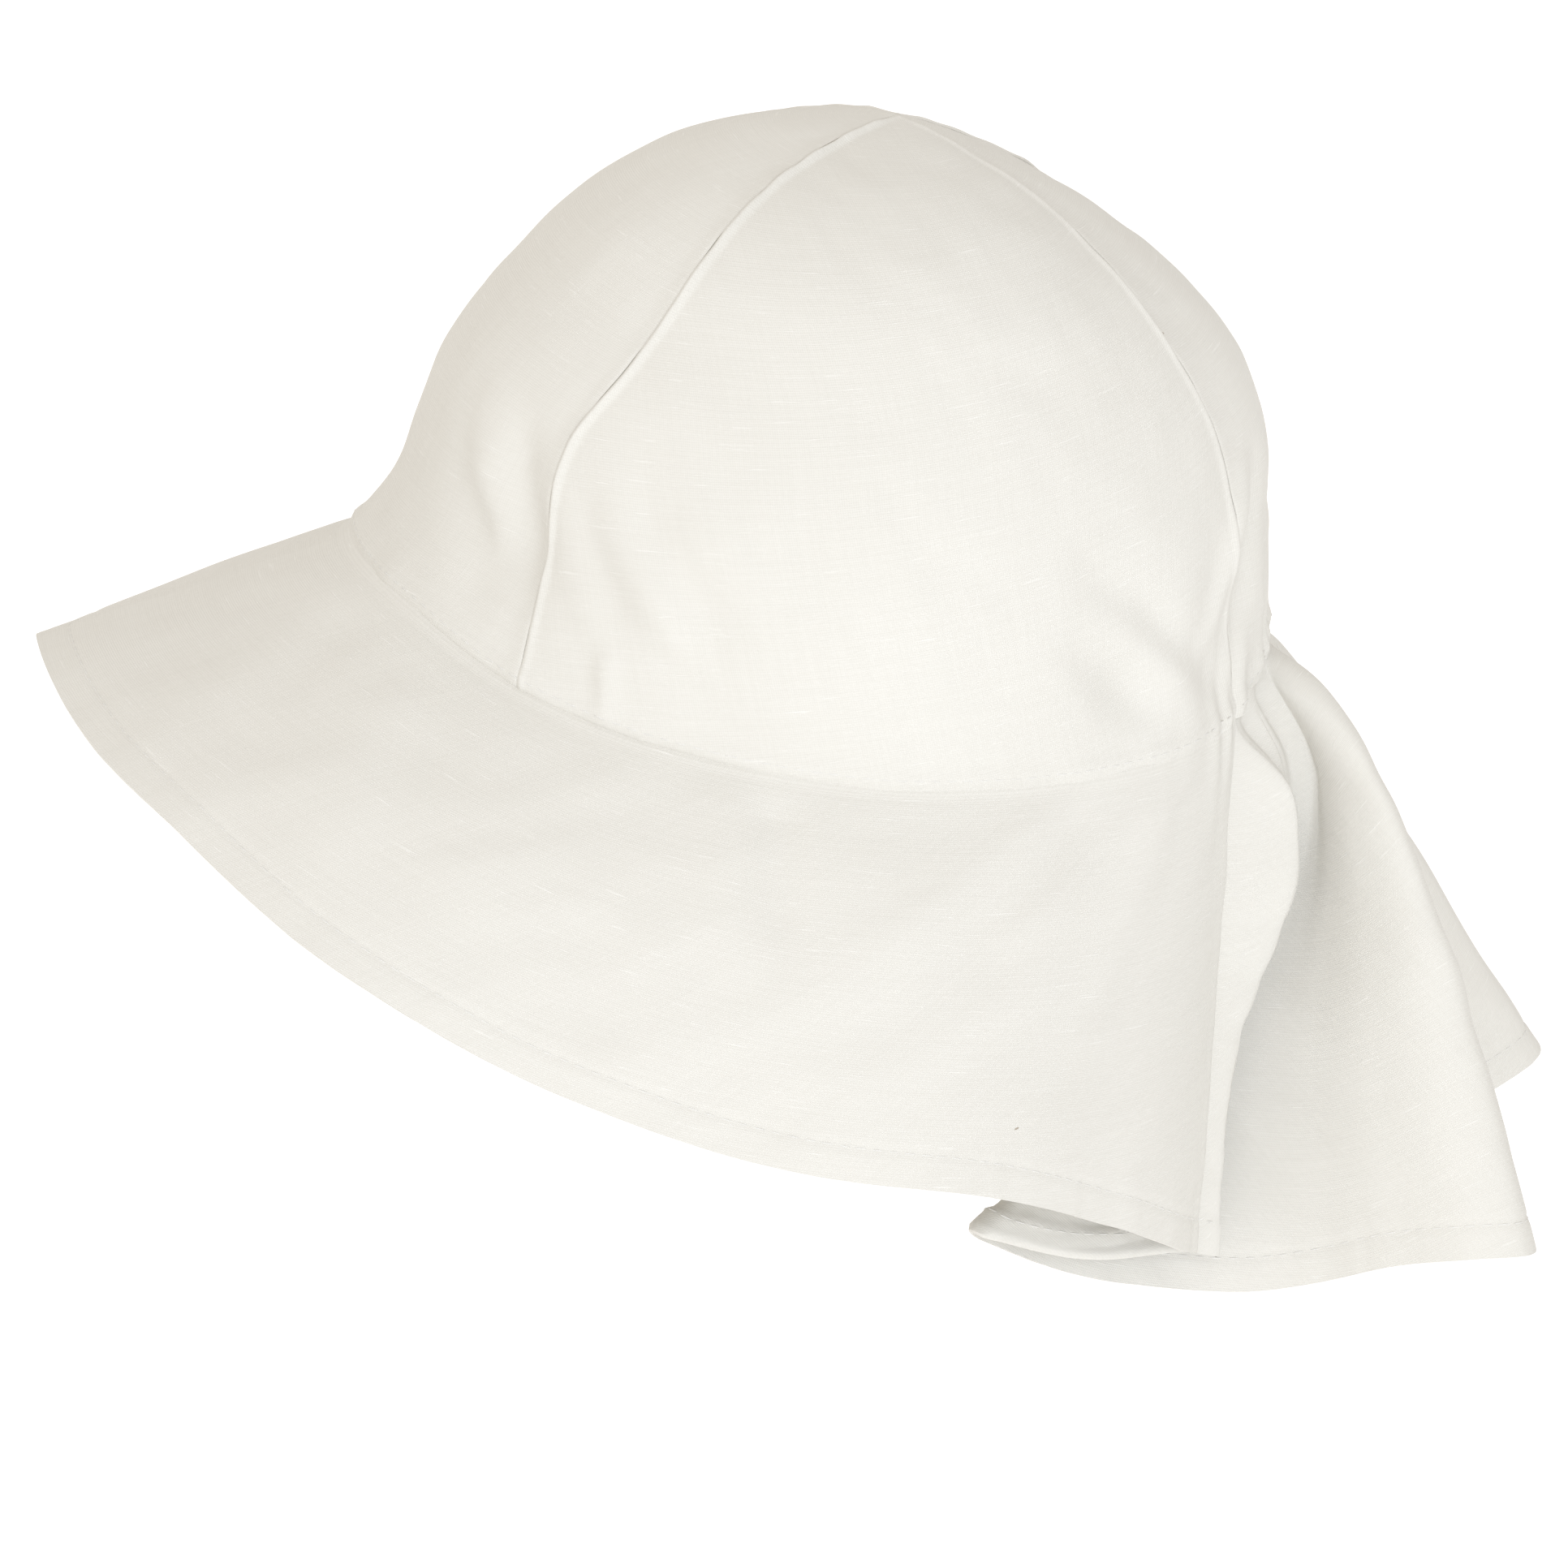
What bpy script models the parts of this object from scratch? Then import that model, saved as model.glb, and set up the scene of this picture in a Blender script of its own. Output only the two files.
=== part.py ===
"""A baby's linen sun hat, modelled as it keeps its form on a head.

The crown is four gores that meet at a soft point. A wide brim droops from the crown's seam all round the front and
the sides, and a neck flap, gathered at the nape, falls in deep folds behind. Metres, +Z up: the front is -Y, the
wearer's left is +X, and the origin is the middle of the crown's opening.
"""

import math

import bmesh
import bpy

MM = 0.001

# Sizes of the crown.
HEAD_HALF_LENGTH = 85 * MM
HEAD_HALF_WIDTH = 71 * MM
CROWN_HEIGHT = 87 * MM
APEX_BACK = 7 * MM
APEX_HOLE = 1.3 * MM
RING_DIP = 20.5 * MM

# Sizes of the brim and of the neck flap.
BRIM_WIDTH = 72 * MM
BRIM_SWELL = 4 * MM
FLAP_LENGTH = 110 * MM
FLAP_SEAM_AZIMUTH = 157
GATHER_DEPTH = 1.1 * MM
GATHER_COUNT = 8
GATHER_FADE = 0.16
POUCH_DEPTH = 14 * MM
POUCH_CENTRE = 0.24
POUCH_SPREAD = 0.26
POUCH_START = 0.08

# The cloth and its seams. A seam's gap keeps neighbouring pieces clear of each other.
CLOTH = 1.2 * MM
SEAM_GAP = 0.4 * MM
FLAP_GAP = SEAM_GAP + CLOTH / 2
FLAP_GAP_BACK = 0.8 * FLAP_GAP
FLAP_GAP_IN = 0.6 * FLAP_GAP
FULL_TURN = 360
WAVE_GROWTH = 1.5

# Faces across and down each piece.
GORE_FACES = (16, 13)
BACK_GORE_FACES = (10, 13)
BRIM_FACES = (50, 9)
FLAP_FACES = (88, 12)

# How far the crown's seam hangs below its front, as shares of RING_DIP, by azimuth in degrees from the front.
RING_ROWS = (
    # azimuth, dip
    (0, 0.00),
    (27, 0.20),
    (49, 0.60),
    (69, 0.85),
    (96, 1.00),
    (122, 0.95),
    (140, 0.87),
    (157, 0.68),
    (168, 0.35),
    (180, 0.16),
)

# The crown's sections from the seam up, as shares of its height and of the opening's radius.
CROWN_ROWS = (
    # height, front, side, back
    (0.00, 1.000, 1.000, 1.000),
    (0.13, 0.930, 1.005, 0.980),
    (0.27, 0.900, 0.985, 0.950),
    (0.41, 0.872, 0.935, 0.918),
    (0.54, 0.812, 0.865, 0.855),
    (0.66, 0.730, 0.775, 0.745),
    (0.77, 0.640, 0.680, 0.595),
    (0.86, 0.530, 0.550, 0.425),
    (0.92, 0.420, 0.400, 0.275),
    (0.96, 0.300, 0.235, 0.150),
    (0.985, 0.160, 0.110, 0.065),
    (1.00, 0.000, 0.000, 0.000),
)

# The gores' side seams, in degrees from the front, by share of the crown's height.
GORE_SEAM_ROWS = (
    # height, front_seam, back_seam
    (0.00, 49, 157),
    (0.20, 47, 155),
    (0.43, 45, 153),
    (0.60, 49, 151),
    (0.75, 51, 149),
    (1.00, 51, 149),
)

# Soft dents in the crown: place by azimuth and height share, half widths in the same units, depth as a share of the
# opening's half width.
DENT_ROWS = (
    # azimuth, height, half_azimuth, half_height, depth
    (36, 0.19, 12, 0.10, 0.045),
    (131, 0.17, 9, 0.12, 0.040),
    (150, 0.22, 7, 0.16, 0.030),
    (-120, 0.20, 14, 0.14, 0.035),
    (-40, 0.25, 11, 0.12, 0.030),
)

# The brim's hem, seen from the crown's seam at each azimuth, as shares of BRIM_WIDTH, and how much the cloth between
# them swells, as a share of BRIM_SWELL.
BRIM_ROWS = (
    # azimuth, forward, side, drop, swell
    (0, 0.742, 0.000, 0.385, 0.1),
    (20, 0.690, 0.274, 0.430, 0.3),
    (32, 0.590, 0.408, 0.460, 0.5),
    (45, 0.425, 0.525, 0.562, 0.8),
    (65, 0.220, 0.524, 0.712, 1.0),
    (90, 0.028, 0.500, 0.845, 1.0),
    (112, -0.058, 0.419, 0.935, 1.0),
    (135, -0.026, 0.344, 1.105, 0.6),
    (157, -0.018, 0.310, 1.325, 0.0),
)

# Long soft waves in the brim, rising towards the hem: height as a share of BRIM_WIDTH.
BRIM_WAVE_ROWS = (
    # azimuth, half_azimuth, height
    (4, 12, 0.062),
    (52, 13, 0.022),
    (84, 8, -0.022),
    (104, 10, 0.022),
    (128, 9, -0.020),
    (-50, 15, 0.030),
    (-82, 10, -0.035),
    (-112, 12, 0.035),
    (-135, 8, -0.020),
)

# The flap's hem from its left seam to the middle of the back, as shares of FLAP_LENGTH from the back of the crown's
# opening: how far back, to the side and down. A fold with an opening under 1 spreads early, near the nape, and over 1
# late, near the hem. The first rows are the Z-fold whose valley lies under the brim.
FLAP_ROWS = (
    # back, side, drop, opening, pouch
    (-0.012, 0.448, 1.000, 1.2, 0.9),
    (-0.050, 0.428, 1.000, 1.5, 1.0),
    (-0.240, 0.520, 1.000, 2.6, 0.9),
    (-0.425, 0.600, 0.950, 3.0, 0.8),
    (-0.445, 0.575, 0.950, 3.0, 0.8),
    (-0.420, 0.540, 0.975, 3.0, 0.8),
    (-0.235, 0.440, 1.055, 2.2, 0.9),
    (-0.060, 0.392, 1.080, 1.5, 1.0),
    (0.055, 0.392, 1.075, 1.2, 0.9),
    (0.160, 0.425, 1.040, 1.0, 0.7),
    (0.275, 0.490, 0.980, 0.9, 0.5),
    (0.395, 0.545, 0.940, 0.8, 0.3),
    (0.490, 0.530, 0.930, 0.8, 0.1),
    (0.505, 0.440, 0.942, 0.8, 0.0),
    (0.430, 0.320, 0.975, 0.9, 0.0),
    (0.370, 0.220, 1.005, 1.0, 0.0),
    (0.400, 0.110, 1.000, 1.0, 0.0),
    (0.430, 0.000, 0.990, 0.9, 0.0),
)
FAR_CREST_BACK = 14 * MM
FAR_CREST_LIFT = 7 * MM
FAR_CREST_EARLY = 0.05
FAR_CREST_PLACE = 0.5 * FLAP_LENGTH
FAR_CREST_SPREAD = 0.25 * FLAP_LENGTH
FAR_CREST_SIDE = 0.4 * FLAP_LENGTH


def hermite(rows, column, where):
    """A smooth curve through one column of a table, read at a value of its first column."""
    keys = [row[0] for row in rows]
    values = [row[column] for row in rows]
    where = min(max(where, keys[0]), keys[-1])
    low = max(index for index in range(len(keys) - 1) if keys[index] <= where)
    span = keys[low + 1] - keys[low]

    def slope(index):
        before = max(index - 1, 0)
        after = min(index + 1, len(keys) - 1)
        return (values[after] - values[before]) / (keys[after] - keys[before])

    share = (where - keys[low]) / span
    start = (1 + 2 * share) * (1 - share) ** 2 * values[low]
    end = share**2 * (3 - 2 * share) * values[low + 1]
    leave = share * (1 - share) ** 2 * span * slope(low)
    arrive = share**2 * (share - 1) * span * slope(low + 1)
    return start + end + leave + arrive


def numbered(rows):
    """The same table with each row's number in front, for a curve that is read by rows."""
    return [(number,) + row for number, row in enumerate(rows)]


def bump(distance, half_width):
    return math.exp(-((distance / half_width) ** 2))


def ring_point(azimuth):
    """A point of the crown's seam, as (forward, side, up)."""
    turn = math.radians(azimuth)
    from_front = math.degrees(math.acos(math.cos(turn)))
    dip = hermite(RING_ROWS, 1, from_front) * RING_DIP
    return HEAD_HALF_LENGTH * math.cos(turn), HEAD_HALF_WIDTH * math.sin(turn), -dip


def crown_point(azimuth, level):
    """A point of the crown, from level 0 at its seam to level 1 at its top."""
    rows = numbered(CROWN_ROWS)
    row = level * (len(rows) - 1)
    height = hermite(rows, 1, row)
    turn = math.radians(azimuth)
    ahead = max(math.cos(turn), 0) ** 2
    behind = max(-math.cos(turn), 0) ** 2
    beside = math.sin(turn) ** 2
    radius = ahead * hermite(rows, 2, row) + beside * hermite(rows, 3, row) + behind * hermite(rows, 4, row)
    for dent_azimuth, dent_height, half_azimuth, half_height, depth in DENT_ROWS:
        radius -= depth * bump(azimuth - dent_azimuth, half_azimuth) * bump(height - dent_height, half_height)
    forward, side, up = ring_point(azimuth)
    return forward * radius - APEX_BACK * height, side * radius, up + (CROWN_HEIGHT - up) * height


def gore_point(first_seam, last_seam, across, down):
    """A point of one gore. Its long edges keep half a seam's gap to its neighbours, up to the small hole on top."""
    last_row = len(CROWN_ROWS) - 1
    side_below_top = CROWN_ROWS[last_row - 1][2]
    top_level = 1 - APEX_HOLE / (HEAD_HALF_WIDTH * side_below_top) / last_row
    level = top_level * (1 - down)
    height = hermite(numbered(CROWN_ROWS), 1, level * last_row)
    first = first_seam(height)
    last = last_seam(height)
    forward, side = crown_point((first + last) / 2, level)[:2]
    radius = math.hypot(forward + APEX_BACK * height, side)
    inset = math.degrees(SEAM_GAP / 2 / radius)
    return crown_point(first + inset + (last - first - 2 * inset) * across, level)


def front_seam(height):
    return hermite(GORE_SEAM_ROWS, 1, height)


def back_seam(height):
    return hermite(GORE_SEAM_ROWS, 2, height)


def below_seam(azimuth):
    """Where the brim and the flap start: clear of the crown's edge by a seam's gap and half the cloth."""
    forward, side, up = ring_point(azimuth)
    return forward, side, up - SEAM_GAP - CLOTH / 2


def brim_point(azimuth, down):
    """A point of the brim, from down 0 at the crown's seam to down 1 at its hem."""
    side_of = math.copysign(1, azimuth)
    forward, side, up = below_seam(azimuth)
    reach = [hermite(BRIM_ROWS, column, abs(azimuth)) * BRIM_WIDTH for column in (1, 2, 3)]
    swell = hermite(BRIM_ROWS, 4, abs(azimuth)) * BRIM_SWELL * 4 * down * (1 - down)
    for wave_azimuth, half_azimuth, height in BRIM_WAVE_ROWS:
        swell += height * BRIM_WIDTH * bump(azimuth - wave_azimuth, half_azimuth) * down**WAVE_GROWTH
    outward = math.hypot(reach[0], reach[1])
    length = math.hypot(outward, reach[2])
    forward += reach[0] * down + swell * reach[2] / length * reach[0] / outward
    side += side_of * (reach[1] * down + swell * reach[2] / length * reach[1] / outward)
    return forward, side, up - reach[2] * down + swell * outward / length


def flap_hem():
    """The flap's hem from its left seam to its right one: (forward, side, up, opening, pouch) at each row."""
    seam = brim_point(FLAP_SEAM_AZIMUTH, 1)
    near = [(seam[0] - FLAP_GAP_BACK, seam[1] - FLAP_GAP_IN, seam[2], 1, 0)]
    for back, side, drop, opening, pouch in FLAP_ROWS:
        forward = -HEAD_HALF_LENGTH - back * FLAP_LENGTH
        near.append((forward, side * FLAP_LENGTH, -drop * FLAP_LENGTH, opening, pouch))
    far = []
    for forward, side, up, opening, pouch in reversed(near[:-1]):
        crest = bump(forward + HEAD_HALF_LENGTH + FAR_CREST_PLACE, FAR_CREST_SPREAD)
        crest *= min(side / FAR_CREST_SIDE, 1)
        opening -= FAR_CREST_EARLY * crest
        far.append((forward - FAR_CREST_BACK * crest, -side, up + FAR_CREST_LIFT * crest, opening, pouch))
    return near + far


HEM = flap_hem()


def even_rows(rows):
    """The rows of the hem numbered by their share of its length, so that the cloth is spread evenly."""
    lengths = [0]
    for one, two in zip(rows, rows[1:]):
        lengths.append(lengths[-1] + math.dist(one[:3], two[:3]))
    return [(length / lengths[-1],) + row for length, row in zip(lengths, rows)]


HEM_BY_LENGTH = even_rows(HEM)


def flap_point(across, down):
    """A point of the flap, from across 0 at its left seam to 1 at its right, and from the nape down to the hem."""
    first = FLAP_SEAM_AZIMUTH + math.degrees(FLAP_GAP / HEAD_HALF_LENGTH)
    forward, side, up = below_seam(first + (FULL_TURN - 2 * first) * across)
    hem = [hermite(HEM_BY_LENGTH, column, across) for column in (1, 2, 3)]
    opening = hermite(HEM_BY_LENGTH, 4, across)
    pouch = hermite(HEM_BY_LENGTH, 5, across) * POUCH_DEPTH * bump(down - POUCH_CENTRE, POUCH_SPREAD)
    pouch *= 1 - bump(down, POUCH_START)
    share = down**opening
    gather = GATHER_DEPTH * math.cos(math.tau * GATHER_COUNT * across) * math.exp(-down / GATHER_FADE)
    edge = min(across, 1 - across) * GATHER_COUNT * 2
    gather *= min(edge, 1)
    forward += (hem[0] - forward) * share - pouch - gather
    side += (hem[1] - side) * share
    return forward, side, up + (hem[2] - up) * down


def linen():
    material = bpy.data.materials.new("linen")
    material.use_nodes = True
    shader = material.node_tree.nodes["Principled BSDF"]
    shader.inputs["Base Color"].default_value = (0.82, 0.79, 0.73, 1)
    shader.inputs["Roughness"].default_value = 0.9
    shader.inputs["Metallic"].default_value = 0
    return material


def sheet(name, faces, point, material, collection):
    """One piece of cloth: a flat grid bent to its form, then given the cloth's thickness."""
    shape = bmesh.new()
    bmesh.ops.create_grid(shape, x_segments=faces[0], y_segments=faces[1], size=1)
    for vertex in shape.verts:
        across = (vertex.co.x + 1) / 2
        down = (1 - vertex.co.y) / 2
        forward, side, up = point(across, down)
        vertex.co = (side, -forward, up)
    for face in shape.faces:
        face.smooth = True
    mesh = bpy.data.meshes.new(name)
    shape.to_mesh(mesh)
    shape.free()
    mesh.materials.append(material)
    piece = bpy.data.objects.new(name, mesh)
    collection.objects.link(piece)
    wall = piece.modifiers.new("cloth", "SOLIDIFY")
    wall.thickness = CLOTH
    wall.offset = 0
    return piece


def crown(material, collection):
    gores = (
        ("crown_front", GORE_FACES, lambda h: -front_seam(h), front_seam),
        ("crown_left", GORE_FACES, front_seam, back_seam),
        ("crown_back", BACK_GORE_FACES, back_seam, lambda h: FULL_TURN - back_seam(h)),
        ("crown_right", GORE_FACES, lambda h: -back_seam(h), lambda h: -front_seam(h)),
    )
    for name, faces, first, last in gores:

        def point(across, down, first=first, last=last):
            return gore_point(first, last, across, down)

        sheet(name, faces, point, material, collection)


def brim(material, collection):
    def point(across, down):
        return brim_point((2 * across - 1) * FLAP_SEAM_AZIMUTH, down)

    sheet("brim", BRIM_FACES, point, material, collection)


for old in list(bpy.data.objects):
    bpy.data.objects.remove(old)
hat = bpy.data.collections.new("linen_sun_hat")
bpy.context.scene.collection.children.link(hat)
cloth = linen()
crown(cloth, hat)
brim(cloth, hat)
sheet("neck_flap", FLAP_FACES, flap_point, cloth, hat)
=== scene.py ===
"""A small child's linen sun hat, dressed: gored crown, drooping brim and neck flap, with seams and stitches."""

import math

import bpy
import numpy as np
from mathutils import Matrix, Vector


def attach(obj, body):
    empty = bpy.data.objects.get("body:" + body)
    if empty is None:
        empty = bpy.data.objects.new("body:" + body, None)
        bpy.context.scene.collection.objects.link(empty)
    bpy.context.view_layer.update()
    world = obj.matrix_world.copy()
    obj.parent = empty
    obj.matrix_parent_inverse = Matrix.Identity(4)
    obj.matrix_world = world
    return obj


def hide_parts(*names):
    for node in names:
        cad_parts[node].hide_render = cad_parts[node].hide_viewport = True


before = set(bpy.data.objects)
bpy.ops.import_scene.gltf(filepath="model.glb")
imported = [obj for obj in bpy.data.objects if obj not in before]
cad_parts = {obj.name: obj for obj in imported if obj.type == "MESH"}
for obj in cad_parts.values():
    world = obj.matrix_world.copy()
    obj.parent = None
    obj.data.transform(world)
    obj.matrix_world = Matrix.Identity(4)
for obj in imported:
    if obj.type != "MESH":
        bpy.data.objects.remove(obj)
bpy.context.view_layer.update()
MM = 0.001


# The view. The hat is seen from the wearer's left, a little above, with its front turned towards the camera
# and the whole hat leaning back in the picture. The lens is long, as for a product picture.
CAMERA_ELEVATION = math.radians(16)
CAMERA_TURN = math.radians(6)
CAMERA_ROLL = math.radians(6.3)
CAMERA_DISTANCE = 2.6
FRAME_PIXELS = 1932
METRES_PER_PIXEL = 0.149 * MM
OPENING_PIXEL = Vector((997, 702))
SENSOR = 36

sight = Vector((math.cos(CAMERA_TURN), -math.sin(CAMERA_TURN), math.tan(CAMERA_ELEVATION)))
sight.normalize()
level_right = Vector((0, 0, 1)).cross(sight).normalized()
level_up = sight.cross(level_right)
picture_right = level_right * math.cos(CAMERA_ROLL) + level_up * math.sin(CAMERA_ROLL)
picture_up = level_up * math.cos(CAMERA_ROLL) - level_right * math.sin(CAMERA_ROLL)
off_centre = OPENING_PIXEL - Vector((FRAME_PIXELS / 2, FRAME_PIXELS / 2))
off_centre *= METRES_PER_PIXEL
aim = -picture_right * off_centre.x + picture_up * off_centre.y
camera = bpy.data.objects.new("camera", bpy.data.cameras.new("camera"))
bpy.context.scene.collection.objects.link(camera)
facing = Matrix((picture_right, picture_up, sight)).transposed()
camera.matrix_world = Matrix.Translation(aim + sight * CAMERA_DISTANCE) @ facing.to_4x4()
camera.data.sensor_width = SENSOR
camera.data.lens = SENSOR * CAMERA_DISTANCE / (FRAME_PIXELS * METRES_PER_PIXEL)
camera.data.clip_start = 0.05
camera.data.clip_end = 50
bpy.context.scene.camera = camera


# The studio: a warm white surround, dimmer behind the hat, one broad soft light beside the camera, and a
# pale floor well below the hat, which is held up as on a head. The floor glows a little to stay white.
FLOOR_DROP = 0.55
FLOOR_SIZE = 30
FLOOR_COLOUR = (0.96, 0.96, 0.96, 1)
FLOOR_ROUGHNESS = 0.9
SURROUND_COLOUR = (1.12, 1.085, 1.045, 1)
KEY_SIZE = 2.2
KEY_POWER = 49
KEY_COLOUR = (0.80, 0.88, 1.0)
KEY_PLACE = (3.0, 0.6, 0.35)
SHADE_BEHIND = 0.62
SHADE_ABOVE = 0.95
SHADE_FROM = 0.15
SHADE_TO = 0.9
FLOOR_GLOW = 0.20
WHITE = (1, 1, 1, 1)

world = bpy.data.worlds.new("surround")
world.use_nodes = True
world_links = world.node_tree.links
world_place = world.node_tree.nodes.new("ShaderNodeTexCoord")
world_way = world.node_tree.nodes.new("ShaderNodeSeparateXYZ")
world_links.new(world_place.outputs["Generated"], world_way.inputs["Vector"])
world_shade = world.node_tree.nodes.new("ShaderNodeMath")
world_shade.operation = "MULTIPLY"
for side, axis, shade in ((0, "Y", SHADE_BEHIND), (1, "Z", SHADE_ABOVE)):
    fade = world.node_tree.nodes.new("ShaderNodeMapRange")
    fade.inputs["From Min"].default_value = SHADE_FROM
    fade.inputs["From Max"].default_value = SHADE_TO
    fade.inputs["To Min"].default_value = 1
    fade.inputs["To Max"].default_value = shade
    world_links.new(world_way.outputs[axis], fade.inputs["Value"])
    world_links.new(fade.outputs["Result"], world_shade.inputs[side])
surround = world.node_tree.nodes["Background"]
world_links.new(world_shade.outputs["Value"], surround.inputs["Strength"])
surround.inputs["Color"].default_value = SURROUND_COLOUR
bpy.context.scene.world = world
bpy.context.scene.view_settings.view_transform = "Standard"

key = bpy.data.objects.new("key_light", bpy.data.lights.new("key_light", "AREA"))
key.data.shape = "DISK"
key.data.size = KEY_SIZE
key.data.energy = KEY_POWER
key.data.color = KEY_COLOUR
key.location = KEY_PLACE
key.rotation_euler = Vector(KEY_PLACE).to_track_quat("Z", "Y").to_euler()
bpy.context.scene.collection.objects.link(key)

bpy.ops.mesh.primitive_plane_add(size=FLOOR_SIZE, location=(0, 0, -FLOOR_DROP))
floor = bpy.context.object
floor.name = "studio_floor"
floor_paint = bpy.data.materials.new("pale_floor")
floor_paint.use_nodes = True
floor_shader = floor_paint.node_tree.nodes["Principled BSDF"]
floor_shader.inputs["Base Color"].default_value = FLOOR_COLOUR
floor_shader.inputs["Roughness"].default_value = FLOOR_ROUGHNESS
floor_shader.inputs["Emission Color"].default_value = WHITE
floor_shader.inputs["Emission Strength"].default_value = FLOOR_GLOW
floor.data.materials.append(floor_paint)


# The linen: undyed plain weave of uneven yarn, washed soft. Warp and weft follow each piece's own grain map,
# which is in metres on the cloth. Thick yarns, slubs and a few dark flecks of flax show here and there.
YARN_PITCH = 0.42 * MM
WAVE_SCALE = 0.314
THICK_WEFT = (45, 1500)
THICK_WARP = (1400, 40)
SLUBS = (100, 1900)
SLUB_FROM = 0.72
SLUB_TO = 0.80
WASHED = (22, 22)
WEAVE_SHADE = 0.05
THICK_WEFT_SHADE = 0.03
THICK_WARP_SHADE = 0.025
SLUB_SHADE = 0.26
WASHED_LOW = 0.56
WASHED_HIGH = 0.64
WEAVE_HEIGHT = 0.5
THICK_WEFT_HEIGHT = 0.6
THICK_WARP_HEIGHT = 0.5
SLUB_HEIGHT = 1.2
RELIEF_STRENGTH = 0.30
RELIEF_DEPTH = 0.12 * MM
LINEN_LIGHT = (0.705, 0.688, 0.642, 1)
LINEN_DARK = (0.520, 0.498, 0.445, 1)
FLECK_COLOUR = (0.36, 0.31, 0.25, 1)
FLECK_CELLS = (38, 55)
FLECK_CHOSEN = 0.96
FLECK_RADIUS = 0.010
FLECK_EDGE = 0.016


def linen_cloth(name, light, dark):
    """The cloth's material, with its weave as bump and as a faint change of colour."""
    material = bpy.data.materials.new(name)
    material.use_nodes = True
    nodes = material.node_tree.nodes
    links = material.node_tree.links
    shader = nodes["Principled BSDF"]
    shader.inputs["Roughness"].default_value = 0.92
    shader.inputs["Specular IOR Level"].default_value = 0.18
    shader.inputs["Sheen Weight"].default_value = 0.12
    shader.inputs["Sheen Roughness"].default_value = 0.5
    grain = nodes.new("ShaderNodeUVMap")
    grain.uv_map = "grain"

    def mapped(scales):
        mapping = nodes.new("ShaderNodeMapping")
        mapping.inputs["Scale"].default_value = (scales[0], scales[1], 1)
        links.new(grain.outputs["UV"], mapping.inputs["Vector"])
        return mapping.outputs["Vector"]

    def noise(scales, detail):
        texture = nodes.new("ShaderNodeTexNoise")
        texture.noise_dimensions = "2D"
        texture.inputs["Scale"].default_value = 1
        texture.inputs["Detail"].default_value = detail
        links.new(mapped(scales), texture.inputs["Vector"])
        return texture.outputs["Fac"]

    def between(value, low, high, to_low, to_high):
        spread = nodes.new("ShaderNodeMapRange")
        spread.inputs["From Min"].default_value = low
        spread.inputs["From Max"].default_value = high
        spread.inputs["To Min"].default_value = to_low
        spread.inputs["To Max"].default_value = to_high
        links.new(value, spread.inputs["Value"])
        return spread.outputs["Result"]

    def sum_of(*values):
        total = values[0]
        for value in values[1:]:
            add = nodes.new("ShaderNodeMath")
            links.new(total, add.inputs[0])
            links.new(value, add.inputs[1])
            total = add.outputs["Value"]
        return total

    def yarns(direction):
        wave = nodes.new("ShaderNodeTexWave")
        wave.bands_direction = direction
        wave.wave_profile = "SIN"
        wave.inputs["Scale"].default_value = WAVE_SCALE
        wave.inputs["Distortion"].default_value = 1.6
        wave.inputs["Detail"].default_value = 2
        wave.inputs["Detail Scale"].default_value = 0.6
        links.new(mapped((1 / YARN_PITCH, 1 / YARN_PITCH)), wave.inputs["Vector"])
        return wave.outputs["Fac"]

    weft = yarns("Y")
    warp = yarns("X")
    thick_weft = noise(THICK_WEFT, 2)
    thick_warp = noise(THICK_WARP, 2)
    slub = between(noise(SLUBS, 1), SLUB_FROM, SLUB_TO, 0, 1)
    washed = noise(WASHED, 3)

    shade = sum_of(
        between(weft, 0, 1, -WEAVE_SHADE, WEAVE_SHADE),
        between(warp, 0, 1, -WEAVE_SHADE, WEAVE_SHADE),
        between(thick_weft, 0.3, 0.7, -THICK_WEFT_SHADE, THICK_WEFT_SHADE),
        between(thick_warp, 0.3, 0.7, -THICK_WARP_SHADE, THICK_WARP_SHADE),
        between(slub, 0, 1, 0, SLUB_SHADE),
        between(washed, 0.3, 0.7, WASHED_LOW, WASHED_HIGH),
    )
    tint = nodes.new("ShaderNodeMix")
    tint.data_type = "RGBA"
    tint.inputs["A"].default_value = dark
    tint.inputs["B"].default_value = light
    links.new(shade, tint.inputs["Factor"])

    flecks = nodes.new("ShaderNodeTexVoronoi")
    flecks.voronoi_dimensions = "2D"
    flecks.inputs["Scale"].default_value = 1
    links.new(mapped(FLECK_CELLS), flecks.inputs["Vector"])
    rare = nodes.new("ShaderNodeSeparateColor")
    links.new(flecks.outputs["Color"], rare.inputs["Color"])
    chosen = between(rare.outputs["Red"], FLECK_CHOSEN, FLECK_CHOSEN + 0.01, 0, 1)
    near = between(flecks.outputs["Distance"], FLECK_RADIUS, FLECK_EDGE, 1, 0)
    fleck = nodes.new("ShaderNodeMath")
    fleck.operation = "MULTIPLY"
    links.new(chosen, fleck.inputs[0])
    links.new(near, fleck.inputs[1])
    speckled = nodes.new("ShaderNodeMix")
    speckled.data_type = "RGBA"
    speckled.inputs["B"].default_value = FLECK_COLOUR
    links.new(fleck.outputs["Value"], speckled.inputs["Factor"])
    links.new(tint.outputs["Result"], speckled.inputs["A"])
    links.new(speckled.outputs["Result"], shader.inputs["Base Color"])

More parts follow.
